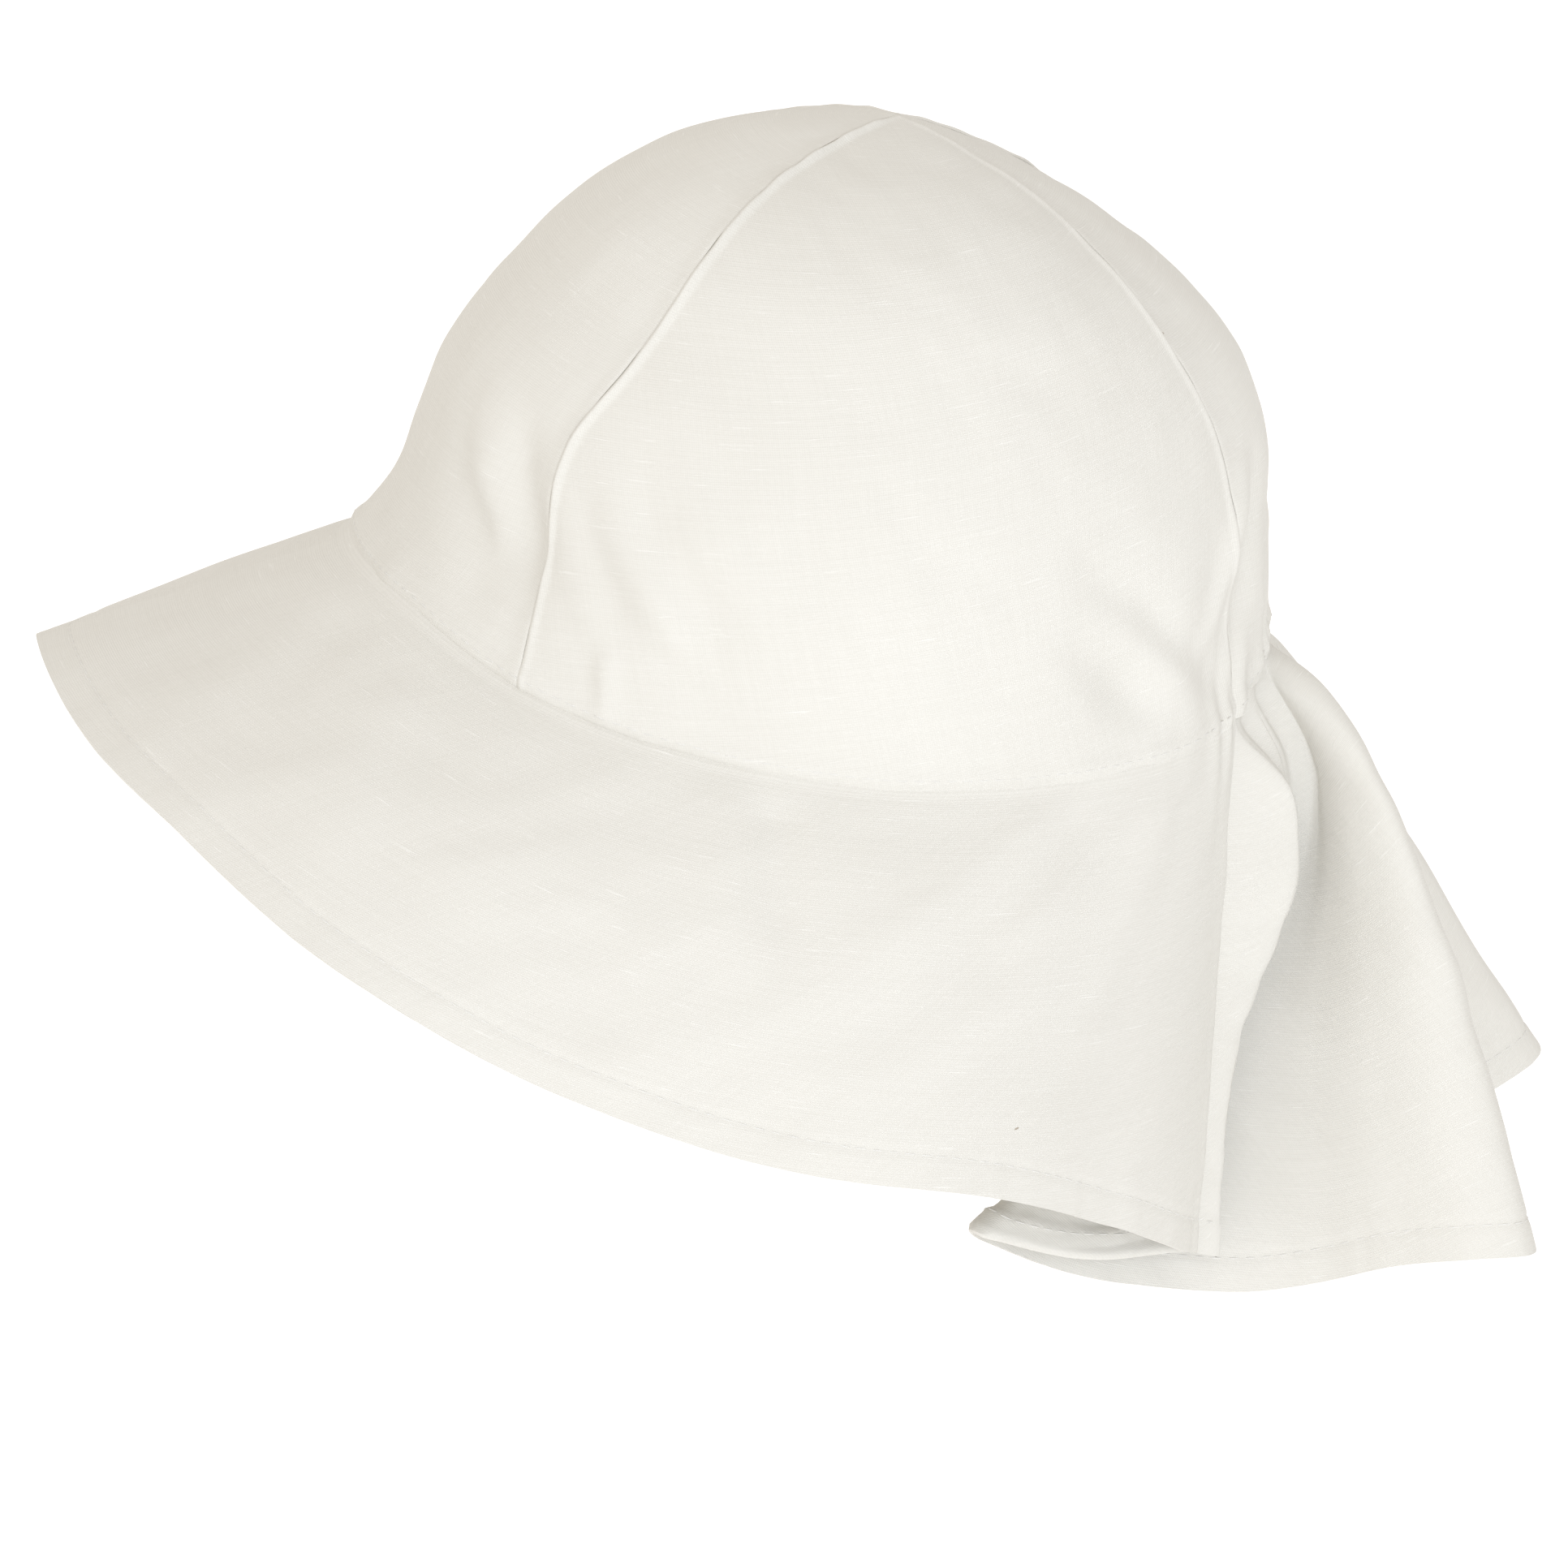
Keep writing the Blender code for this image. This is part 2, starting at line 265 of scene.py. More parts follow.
    height = sum_of(
        between(weft, 0, 1, 0, WEAVE_HEIGHT),
        between(warp, 0, 1, 0, WEAVE_HEIGHT),
        between(thick_weft, 0.2, 0.8, 0, THICK_WEFT_HEIGHT),
        between(thick_warp, 0.2, 0.8, 0, THICK_WARP_HEIGHT),
        between(slub, 0, 1, 0, SLUB_HEIGHT),
    )
    relief = nodes.new("ShaderNodeBump")
    relief.inputs["Strength"].default_value = RELIEF_STRENGTH
    relief.inputs["Distance"].default_value = RELIEF_DEPTH
    links.new(height, relief.inputs["Height"])
    links.new(relief.outputs["Normal"], shader.inputs["Normal"])
    return material


linen = linen_cloth("undyed_linen", LINEN_LIGHT, LINEN_DARK)


# The crown: four gores of single linen, sewn edge to edge and drawn to a soft point on top. Each seam stands
# up as a narrow ridge, because its turnings are pressed to one side, and the cloth is a little crumpled.
HEAD_HALF_LENGTH = 85 * MM
HEAD_HALF_WIDTH = 71 * MM
CROWN_HEIGHT = 87 * MM
APEX_BACK = 7 * MM
RING_DIP = 20.5 * MM
CLOTH = 0.8 * MM

RING_ROWS = (
    # azimuth, dip
    (0, 0.00),
    (27, 0.20),
    (49, 0.60),
    (69, 0.85),
    (96, 1.00),
    (122, 0.95),
    (140, 0.87),
    (157, 0.68),
    (168, 0.35),
    (180, 0.16),
)

CROWN_ROWS = (
    # row, height, front, side, back
    (0, 0.00, 1.000, 1.000, 1.000),
    (1, 0.13, 0.930, 1.005, 0.980),
    (2, 0.27, 0.900, 0.985, 0.950),
    (3, 0.41, 0.872, 0.935, 0.918),
    (4, 0.54, 0.812, 0.865, 0.855),
    (5, 0.66, 0.730, 0.775, 0.745),
    (6, 0.77, 0.640, 0.680, 0.595),
    (7, 0.86, 0.530, 0.550, 0.425),
    (8, 0.92, 0.420, 0.400, 0.275),
    (9, 0.96, 0.300, 0.235, 0.150),
    (10, 0.985, 0.160, 0.110, 0.065),
    (11, 1.00, 0.000, 0.000, 0.000),
)

GORE_SEAM_ROWS = (
    # height, front_seam, back_seam
    (0.00, 49, 157),
    (0.20, 47, 155),
    (0.43, 45, 153),
    (0.60, 49, 151),
    (0.75, 51, 149),
    (1.00, 51, 149),
)

DENT_ROWS = (
    # azimuth, height, half_azimuth, half_height, depth
    (36, 0.19, 12, 0.10, 0.045),
    (131, 0.17, 9, 0.12, 0.040),
    (150, 0.22, 7, 0.16, 0.030),
    (-120, 0.20, 14, 0.14, 0.035),
    (-40, 0.25, 11, 0.12, 0.030),
)

# Creases of the crown: from one place to another, by azimuth and height share, with half width and rise in
# mm. A crease with a rise under 0 is a furrow.
CROWN_CREASES = (
    # azimuth, height, to_azimuth, to_height, half_width, rise
    (123, 0.36, 155, 0.07, 4.5, -1.5),
    (127, 0.27, 143, 0.13, 4.0, 1.5),
    (118, 0.26, 138, 0.08, 4.0, -0.7),
    (158, 0.44, 148, 0.18, 3.5, 1.5),
    (164, 0.42, 156, 0.14, 4.5, -2.0),
    (36, 0.40, 45, 0.22, 5.0, -2.2),
    (29, 0.33, 38, 0.18, 4.5, 1.3),
    (50, 0.36, 62, 0.18, 3.5, -0.9),
    (55, 0.38, 69, 0.18, 3.5, 0.7),
    (60, 0.40, 76, 0.20, 4.0, -0.8),
    (68, 0.38, 84, 0.20, 4.0, 0.5),
    (60, 0.13, 61.5, 0.02, 2.2, 0.9),
    (66, 0.16, 80, 0.05, 3.5, -0.6),
    (10, 0.50, 30, 0.40, 7.0, 0.7),
    (-44, 0.36, -58, 0.16, 4.0, -1.0),
    (-50, 0.38, -66, 0.18, 4.0, 0.9),
    (-112, 0.34, -148, 0.09, 5.0, -1.4),
    (-118, 0.25, -146, 0.07, 4.0, 1.2),
    (176, 0.30, 174, 0.06, 4.0, -1.2),
    (183, 0.26, 187, 0.05, 4.0, 1.0),
)
CREASE_RADIUS = 75
CREASE_HEIGHT = 90

GORES = (
    # name, columns, first and last seam (column of the seam table, side, ridge), grain turn in degrees, seed
    ("crown_front", 190, (1, -1, -1), (1, 1, -1), 0, 11),
    ("crown_left", 210, (1, 1, 1), (2, 1, 0.45), 14, 12),
    ("crown_back", 120, (2, 1, -0.45), (2, -1, -0.45), 0, 13),
    ("crown_right", 210, (2, -1, 0.45), (1, -1, 1), -10, 14),
)
GORE_LINES = 150
TOP_LEVEL = 0.998
CALM_WIDTH = 40 * MM

SEAM_RIDGE = 0.90 * MM
SEAM_RIDGE_AWAY = 0.75 * MM
SEAM_RIDGE_WIDTH = 0.85 * MM
SEAM_SWELL = 0.42 * MM
SEAM_SWELL_WIDTH = 2.2 * MM
SEAM_DIP = 0.10 * MM
SEAM_DIP_WIDTH = 0.35 * MM
EDGE_ROLL = 0.6 * MM
EDGE_ROLL_WIDTH = 0.5 * MM
EDGE_SWELL = 0.55 * MM
EDGE_SWELL_ABOVE = 2.3 * MM
EDGE_SWELL_WIDTH = 1.7 * MM
SEAM_UNEVEN = 0.18
SEAM_UNEVEN_LENGTHS = (2.3 * MM, 3.7 * MM)
SEAM_LOW_SHARE = 0.3
SEAM_FULL_ABOVE = 14 * MM
SEAM_FULL_OVER = 4 * MM
SEAM_FULL_WIDTH = 12 * MM
NAPE_GATHERS = 9
NAPE_GATHER_DEPTH = 0.8 * MM
NAPE_GATHER_REACH = 9 * MM
NAPE_FROM = 150
NAPE_WIDTH = 46
CRUMPLE = 0.22 * MM
CRUMPLE_LENGTHS = (14 * MM, 42 * MM)


def read_rows(rows, column, where):
    """A smooth curve through one column of a table, read at many values of its first column."""
    keys = np.array([row[0] for row in rows], float)
    values = np.array([row[column] for row in rows], float)
    after = np.minimum(np.arange(len(keys)) + 1, len(keys) - 1)
    before = np.maximum(np.arange(len(keys)) - 1, 0)
    slopes = (values[after] - values[before]) / (keys[after] - keys[before])
    where = np.clip(where, keys[0], keys[-1])
    low = np.clip(np.searchsorted(keys, where, side="right") - 1, 0, len(keys) - 2)
    span = keys[low + 1] - keys[low]
    share = (where - keys[low]) / span
    start = (1 + 2 * share) * (1 - share) ** 2 * values[low]
    end = share**2 * (3 - 2 * share) * values[low + 1]
    leave = share * (1 - share) ** 2 * span * slopes[low]
    arrive = share**2 * (share - 1) * span * slopes[low + 1]
    return start + end + leave + arrive


def bump(distance, half_width):
    return np.exp(-((distance / half_width) ** 2))


def ring_place(azimuth):
    """The crown's seam, as (forward, side, up)."""
    turn = np.radians(azimuth)
    dip = read_rows(RING_ROWS, 1, np.degrees(np.arccos(np.cos(turn)))) * RING_DIP
    return HEAD_HALF_LENGTH * np.cos(turn), HEAD_HALF_WIDTH * np.sin(turn), -dip


def crown_height_share(level):
    return read_rows(CROWN_ROWS, 1, level * CROWN_ROWS[-1][0])


def crown_place(azimuth, level):
    """The crown's surface, as (forward, side, up), from level 0 at its seam to level 1 on top."""
    height = crown_height_share(level)
    row = level * CROWN_ROWS[-1][0]
    turn = np.radians(azimuth)
    ahead = np.maximum(np.cos(turn), 0) ** 2
    behind = np.maximum(-np.cos(turn), 0) ** 2
    beside = np.sin(turn) ** 2
    radius = ahead * read_rows(CROWN_ROWS, 2, row)
    radius = radius + beside * read_rows(CROWN_ROWS, 3, row) + behind * read_rows(CROWN_ROWS, 4, row)
    for dent_azimuth, dent_height, half_azimuth, half_height, depth in DENT_ROWS:
        dent = depth * bump(azimuth - dent_azimuth, half_azimuth)
        radius = radius - dent * bump(height - dent_height, half_height)
    forward, side, up = ring_place(azimuth)
    return forward * radius - APEX_BACK * height, side * radius, up + (CROWN_HEIGHT - up) * height


def in_world(place):
    """(forward, side, up) as an array of world points: the hat's front looks along -Y."""
    forward, side, up = place
    return np.stack([side, -forward, up], axis=-1)


def crowded(count, edges=0.7):
    """Shares from 0 to 1 that lie closer together near both ends, where the seams and hems are."""
    even = np.linspace(0, 1, count)
    return (1 - edges) * even + edges * (1 - np.cos(math.pi * even)) / 2


def outward(points):
    """The unit normals of a grid of points, on the outer side of the cloth."""
    down = np.gradient(points, axis=0)
    across = np.gradient(points, axis=1)
    normal = np.cross(down, across)
    return normal / np.maximum(np.linalg.norm(normal, axis=-1, keepdims=True), 1e-12)


def run(points, axis):
    """The length of cloth from the first edge of a grid to each point, along one of its directions."""
    step = np.linalg.norm(np.diff(points, axis=axis), axis=-1)
    length = np.cumsum(step, axis=axis)
    start = np.zeros_like(np.take(length, [0], axis=axis))
    return np.concatenate([start, length], axis=axis)


def crumple(along, across, seed, shortest, longest):
    """Soft irregular waves of the cloth, between -1 and 1, from a fixed seed. Lengths are in metres."""
    chance = np.random.default_rng(seed)
    total = np.zeros_like(along)
    waves = 14
    for _ in range(waves):
        heading = chance.uniform(0, math.pi)
        length = chance.uniform(shortest, longest)
        phase = chance.uniform(0, math.tau)
        way = along * math.cos(heading) + across * math.sin(heading)
        bent = way + 0.25 * length * np.sin(math.tau * (along - across) / (2.3 * length) + phase)
        total += np.sin(math.tau * bent / length + phase)
    return total / math.sqrt(waves * 2)


def sewn_cloth(name, points, grain, wall):
    """A closed sheet of cloth from a grid of its outer face, with the given thickness at each point."""
    rows, columns = points.shape[:2]
    inner = points - outward(points) * wall[..., None]
    vertices = np.concatenate([points.reshape(-1, 3), inner.reshape(-1, 3)])
    number = np.arange(rows * columns).reshape(rows, columns)
    back = number + rows * columns

    def quads(a, b, c, d):
        return np.stack([a.ravel(), b.ravel(), c.ravel(), d.ravel()], axis=-1)

    faces = np.concatenate(
        [
            quads(number[:-1, :-1], number[1:, :-1], number[1:, 1:], number[:-1, 1:]),
            quads(back[:-1, :-1], back[:-1, 1:], back[1:, 1:], back[1:, :-1]),
            quads(number[0, :-1], number[0, 1:], back[0, 1:], back[0, :-1]),
            quads(number[-1, 1:], number[-1, :-1], back[-1, :-1], back[-1, 1:]),
            quads(number[1:, 0], number[:-1, 0], back[:-1, 0], back[1:, 0]),
            quads(number[:-1, -1], number[1:, -1], back[1:, -1], back[:-1, -1]),
        ]
    )
    mesh = bpy.data.meshes.new(name)
    mesh.from_pydata(vertices.tolist(), [], faces.tolist())
    layer = mesh.uv_layers.new(name="grain")
    flat = np.concatenate([grain.reshape(-1, 2), grain.reshape(-1, 2)])
    layer.data.foreach_set("uv", flat[faces.ravel()].astype(np.float32).ravel())
    mesh.shade_smooth()
    mesh.set_sharp_from_angle(angle=math.radians(50))
    mesh.materials.append(linen)
    piece = bpy.data.objects.new(name, mesh)
    bpy.context.scene.collection.objects.link(piece)
    return piece


def crease_lift(creases, azimuth, share, radius, height):
    """How far a table of creases lifts or sinks the cloth, in metres. Radius and height are in mm."""
    lift = np.zeros_like(azimuth)
    east = np.radians(azimuth) * radius
    north = share * height
    for start, low, end, high, half_width, rise in creases:
        first = np.array([math.radians(start) * radius, low * height])
        last = np.array([math.radians(end) * radius, high * height])
        length = np.linalg.norm(last - first)
        way = (last - first) / length
        along = (east - first[0]) * way[0] + (north - first[1]) * way[1]
        aside = -(east - first[0]) * way[1] + (north - first[1]) * way[0]
        past_end = np.maximum(np.abs(along - length / 2) - length / 4, 0)
        lift += rise * MM * bump(aside, half_width) * bump(past_end, length / 3.2)
    return lift


def seam_relief(away, width, above_ring, ridge):
    """The relief beside a seam: a narrow ridge over the turnings, or a soft rise to the other gore's ridge.

    The soft rise is that of a ridge under 0.
    """
    short, long = SEAM_UNEVEN_LENGTHS
    uneven = 1 + SEAM_UNEVEN * np.sin(above_ring / short) * np.sin(above_ring / long + 1)
    full = 1 / (1 + np.exp((SEAM_FULL_ABOVE - above_ring) / SEAM_FULL_OVER))
    taper = SEAM_LOW_SHARE + (1 - SEAM_LOW_SHARE) * full
    if ridge < 0:
        relief = SEAM_SWELL * -ridge * bump(away, SEAM_SWELL_WIDTH)
    else:
        relief = SEAM_RIDGE * ridge * bump(away - SEAM_RIDGE_AWAY, SEAM_RIDGE_WIDTH)
    relief = relief * uneven * taper - SEAM_DIP * bump(away, SEAM_DIP_WIDTH)
    return relief * np.minimum(width / SEAM_FULL_WIDTH, 1)


def seam_depth(azimuth):
    """How deep the seam of crown and brim is: marked at the temples, nearly smooth in front and behind."""
    from_front = np.degrees(np.arccos(np.cos(np.radians(azimuth))))
    ahead = 0.3 + 0.7 / (1 + np.exp((22 - from_front) / 4))
    return 0.1 + 0.9 * ahead / (1 + np.exp((from_front - 84) / 5))


def edge_relief(above_ring, azimuth):
    """The crown's lower edge: it swells over its turnings and rolls in to the seam."""
    swell = EDGE_SWELL * bump(above_ring - EDGE_SWELL_ABOVE, EDGE_SWELL_WIDTH)
    return swell - EDGE_ROLL * seam_depth(azimuth) * bump(above_ring, EDGE_ROLL_WIDTH)


def nape_gathers(azimuth, away):
    """Small puckers beside the seam at the nape, where the elastic inside draws the cloth together."""
    behind = np.abs(np.degrees(np.arccos(np.cos(np.radians(azimuth)))))
    pulled = 1 / (1 + np.exp(-(behind - NAPE_FROM) / 4))
    turn = np.radians(azimuth - 180) * 360 / NAPE_WIDTH * NAPE_GATHERS
    wave = np.cos(turn + 1.5 * np.sin(np.radians(azimuth) * 21))
    return NAPE_GATHER_DEPTH * pulled * wave * np.exp(-away / NAPE_GATHER_REACH)


crown_edges = {}
for name, columns, first, last, turn, seed in GORES:
    level = (1 - crowded(GORE_LINES)) * TOP_LEVEL
    height = crown_height_share(level)[:, None]
    start = read_rows(GORE_SEAM_ROWS, first[0], height) * first[1]
    end = read_rows(GORE_SEAM_ROWS, last[0], height) * last[1]
    if name == "crown_back":
        end = end + 360
    azimuth = start + (end - start) * crowded(columns)[None, :]
    points = in_world(crown_place(azimuth, np.broadcast_to(level[:, None], azimuth.shape)))
    from_first = run(points, 1)
    width = from_first[:, -1:]
    from_top = run(points, 0)
    above_ring = from_top[-1:, :] - from_top
    grain = np.stack([from_first - width / 2, from_top], axis=-1)
    heights = np.broadcast_to(height, azimuth.shape)
    lift = crease_lift(CROWN_CREASES, azimuth, heights, CREASE_RADIUS, CREASE_HEIGHT)
    lift += CRUMPLE * crumple(grain[..., 0], grain[..., 1], seed, *CRUMPLE_LENGTHS)
    lift *= np.minimum(width / CALM_WIDTH, 1)
    lift += seam_relief(from_first, width, above_ring, first[2])
    lift += seam_relief(width - from_first, width, above_ring, last[2])
    lift += edge_relief(above_ring, azimuth)
    lift += nape_gathers(azimuth, above_ring)
    points = points + outward(points) * lift[..., None]
    cosine, sine = math.cos(math.radians(turn)), math.sin(math.radians(turn))
    grain = grain @ np.array([[cosine, sine], [-sine, cosine]])
    gore = sewn_cloth(name + "_cloth", points, grain + seed, np.full(azimuth.shape, CLOTH))
    crown_edges[name] = (points, above_ring)
    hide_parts(name)
    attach(gore, "root")


# The brim: one wide piece of linen, sewn under the crown's edge and hanging from it in long soft waves. Its
# hem is turned twice to the inside and stitched, so the cloth is thicker there.
BRIM_WIDTH = 72 * MM
BRIM_SWELL = 4 * MM
FLAP_SEAM_AZIMUTH = 157

BRIM_ROWS = (
    # azimuth, forward, side, drop, swell
    (0, 0.742, 0.000, 0.385, 0.1),
    (20, 0.686, 0.272, 0.424, 0.3),
    (32, 0.594, 0.411, 0.474, 0.5),
    (45, 0.434, 0.535, 0.591, 0.8),
    (65, 0.226, 0.530, 0.738, 1.0),
    (90, 0.028, 0.500, 0.855, 1.0),
    (112, -0.058, 0.419, 0.935, 1.0),
    (135, -0.026, 0.344, 1.105, 0.6),
    (157, -0.018, 0.310, 1.325, 0.0),
)

BRIM_WAVE_ROWS = (
    # azimuth, half_azimuth, height
    (4, 12, 0.062),
    (52, 13, 0.022),
    (84, 8, -0.022),
    (104, 10, 0.022),
    (128, 9, -0.020),
    (-50, 15, 0.030),
    (-82, 10, -0.035),
    (-112, 12, 0.035),
    (-135, 8, -0.020),
)

# Creases of the brim: from one place to another, by azimuth and share of the width, with half width and rise
# in mm.
BRIM_CREASES = (
    # azimuth, share, to_azimuth, to_share, half_width, rise
    (84, 0.04, 87, 0.45, 5.0, -1.1),
    (79, 0.10, 80, 0.50, 6.0, 0.7),
    (128, 0.04, 104, 0.42, 5.0, -1.1),
    (120, 0.04, 97, 0.40, 5.0, 0.7),
    (113, 0.38, 95, 0.66, 5.5, -1.0),
    (140, 0.06, 124, 0.55, 6.0, 0.8),
    (56, 0.46, 62, 0.62, 15.0, 0.8),
    (68, 0.55, 72, 0.85, 7.0, -0.7),
    (24, 0.10, 30, 0.75, 8.0, -0.8),
    (38, 0.20, 42, 0.80, 8.0, 0.7),
    (-30, 0.10, -36, 0.80, 8.0, -1.0),
    (-70, 0.05, -74, 0.60, 6.0, 0.9),
    (-126, 0.05, -104, 0.45, 5.0, -1.1),
    (-141, 0.10, -125, 0.60, 6.0, 0.8),
)
BRIM_CREASE_RADIUS = 95

BRIM_CRUMPLE = 0.24 * MM
BRIM_CRUMPLE_LENGTHS = (18 * MM, 55 * MM)
BRIM_CALM = 8 * MM
BRIM_TOP_ROLL = 0.5 * MM
BRIM_TOP_ROLL_WIDTH = 0.7 * MM
BRIM_SIDE_RIDGE = 0.16 * MM
BRIM_SIDE_RIDGE_AWAY = 1.3 * MM
BRIM_SIDE_RIDGE_WIDTH = 1.2 * MM
BRIM_SIDE_ROLL_WIDTH = 0.5 * MM
BRIM_GATHER_SHARE = 0.8

HEM_DEPTH = 6.4 * MM
HEM_EXTRA = 0.7 * MM
HEM_END = 0.12 * MM
HEM_FOLD = 0.45
HEM_FOLD_WIDTH = 0.5 * MM
HEM_DIMPLE = 0.22 * MM
HEM_DIMPLE_WIDTH = 0.8 * MM
HEM_RIPPLE = 0.16 * MM
HEM_RIPPLE_LENGTHS = (5 * MM, 16 * MM)
HEM_RIPPLE_REACH = 9 * MM
TUCK_IN = 0.4 * MM
TUCK_UP = 1.3 * MM
TUCK_REACH = 0.9 * MM


def brim_place(azimuth, down):
    """The brim's surface, as (forward, side, up), from down 0 at the crown's seam to down 1 at its hem."""
    side_of = np.where(azimuth < 0, -1.0, 1.0)
    forward, side, up = ring_place(azimuth)
    either = np.abs(azimuth)
    ahead, beside, drop = [read_rows(BRIM_ROWS, column, either) * BRIM_WIDTH for column in (1, 2, 3)]
    swell = read_rows(BRIM_ROWS, 4, either) * BRIM_SWELL * 4 * down * (1 - down)
    for wave_azimuth, half_azimuth, height in BRIM_WAVE_ROWS:
        wave = height * BRIM_WIDTH * bump(azimuth - wave_azimuth, half_azimuth)
        swell = swell + wave * down**1.5
    outer = np.hypot(ahead, beside)
    length = np.hypot(outer, drop)
    forward = forward + ahead * down + swell * drop / length * ahead / outer
    side = side + side_of * (beside * down + swell * drop / length * beside / outer)
    return forward, side, up - drop * down + swell * outer / length


def tuck_under(points, from_top):
    """The shift that brings a piece's top edge up behind the crown's edge, so that no light shows between."""
    across = points * np.array([1, 1, 0])
    inward = -across / np.linalg.norm(across, axis=-1, keepdims=True)
    share = bump(from_top, TUCK_REACH)[..., None]
    return share * (inward * TUCK_IN + np.array([0, 0, TUCK_UP]))


def hem_relief(above_hem, along_hem, seed):
    """The outer face by the hem: drawn in along the stitches, and rippled a little near the edge."""
    ripple = crumple(along_hem, np.zeros_like(along_hem), seed, *HEM_RIPPLE_LENGTHS)
    dimple = HEM_DIMPLE * bump(above_hem - HEM_DEPTH, HEM_DIMPLE_WIDTH)
    return HEM_RIPPLE * ripple * bump(above_hem, HEM_RIPPLE_REACH) - dimple


def hem_wall(above_hem):
    """The cloth's thickness, with the two more layers of the hem inside and a rounded lower fold."""
    turned = 1 / (1 + np.exp((above_hem - HEM_DEPTH - 0.3 * MM) / HEM_END))
    edge = 1 - HEM_FOLD * bump(above_hem, HEM_FOLD_WIDTH)
    return (CLOTH + HEM_EXTRA * turned) * edge


brim_azimuth = (2 * crowded(420, 0.25) - 1)[None, :] * FLAP_SEAM_AZIMUTH
brim_share = crowded(96, 0.6)[:, None]
brim_azimuth, brim_share = np.broadcast_arrays(brim_azimuth, brim_share)
brim_points = in_world(brim_place(brim_azimuth, brim_share))
brim_from_top = run(brim_points, 0)
brim_above_hem = brim_from_top[-1:, :] - brim_from_top
brim_from_seam = run(brim_points, 1)
brim_to_seam = brim_from_seam[:, -1:] - brim_from_seam
brim_along = np.broadcast_to(brim_from_seam[-1:, :], brim_from_seam.shape)
brim_grain = np.stack([(brim_from_seam - brim_to_seam) / 2, brim_from_top], axis=-1)
brim_lift = crease_lift(BRIM_CREASES, brim_azimuth, brim_share, BRIM_CREASE_RADIUS, BRIM_WIDTH / MM)
brim_lift += BRIM_CRUMPLE * crumple(brim_grain[..., 0], brim_grain[..., 1], 21, *BRIM_CRUMPLE_LENGTHS)
brim_lift *= np.minimum(brim_from_top / BRIM_CALM, 1)
brim_lift += hem_relief(brim_above_hem, brim_along, 22)
brim_lift -= BRIM_TOP_ROLL * seam_depth(brim_azimuth) * bump(brim_from_top, BRIM_TOP_ROLL_WIDTH)
brim_points = brim_points + tuck_under(brim_points, brim_from_top)
for away in (brim_from_seam, brim_to_seam):
    brim_lift += BRIM_SIDE_RIDGE * bump(away - BRIM_SIDE_RIDGE_AWAY, BRIM_SIDE_RIDGE_WIDTH)
    brim_lift -= BRIM_SIDE_RIDGE * bump(away, BRIM_SIDE_ROLL_WIDTH)
brim_lift += nape_gathers(brim_azimuth, brim_from_top) * BRIM_GATHER_SHARE
brim_points = brim_points + outward(brim_points) * brim_lift[..., None]
brim = sewn_cloth("brim_cloth", brim_points, brim_grain + 3, hem_wall(brim_above_hem))
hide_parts("brim")
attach(brim, "root")


# The neck flap: a wide flared piece drawn together at the nape by elastic inside its seam. It falls in deep
# folds, and beside each seam it doubles back under the brim. Its hem is turned and stitched as the brim's is.
FLAP_LENGTH = 110 * MM
FLAP_CRUMPLE = 0.35 * MM
FLAP_CRUMPLE_LENGTHS = (20 * MM, 60 * MM)
FLAP_CALM = 25 * MM
FLAP_TOP_ROLL = 0.4 * MM
FLAP_TOP_ROLL_WIDTH = 0.6 * MM
GATHER_DEPTH = 1.6 * MM
GATHER_COUNT = 8
GATHER_FADE = 0.20
GATHER_START = 0.03
FLAP_TUCK = 0.6 * MM
SEAM_OVERLAP = 0.5 * MM
SEAM_STEP = 0.3 * MM
SEAM_REACH = 6 * MM
POUCH_DEPTH = 13 * MM
POUCH_CENTRE = 0.25
POUCH_SPREAD = 0.30
POUCH_START = 0.08
FAR_CREST_BACK = 13 * MM
FAR_CREST_LIFT = 7 * MM
FAR_CREST_LATE = 0.36
FAR_CREST_PLACE = 0.5 * FLAP_LENGTH
FAR_CREST_SPREAD = 0.25 * FLAP_LENGTH
FAR_CREST_SIDE = 0.4 * FLAP_LENGTH

FLAP_ROWS = (
    # back, side, drop, opening, pouch
    (-0.012, 0.448, 1.000, 1.2, 0.90),
    (-0.050, 0.428, 1.000, 1.5, 1.00),
    (-0.240, 0.520, 1.000, 2.6, 0.85),
    (-0.425, 0.600, 0.950, 3.0, 0.65),
    (-0.445, 0.575, 0.950, 3.0, 0.55),
    (-0.420, 0.540, 0.975, 3.0, 0.60),
    (-0.235, 0.440, 1.055, 2.0, 0.80),
    (-0.060, 0.392, 1.080, 1.4, 0.95),
    (0.055, 0.392, 1.075, 1.1, 0.85),
    (0.160, 0.425, 1.040, 0.9, 0.65),
    (0.275, 0.490, 0.980, 0.7, 0.45),
    (0.395, 0.545, 0.940, 0.6, 0.25),
    (0.490, 0.530, 0.930, 0.58, 0.05),
    (0.505, 0.440, 0.942, 0.60, 0.00),
    (0.430, 0.320, 0.975, 0.8, 0.00),
    (0.370, 0.220, 1.005, 1.0, 0.00),
    (0.400, 0.110, 1.000, 1.0, 0.00),
    (0.430, 0.000, 0.990, 0.9, 0.00),
)


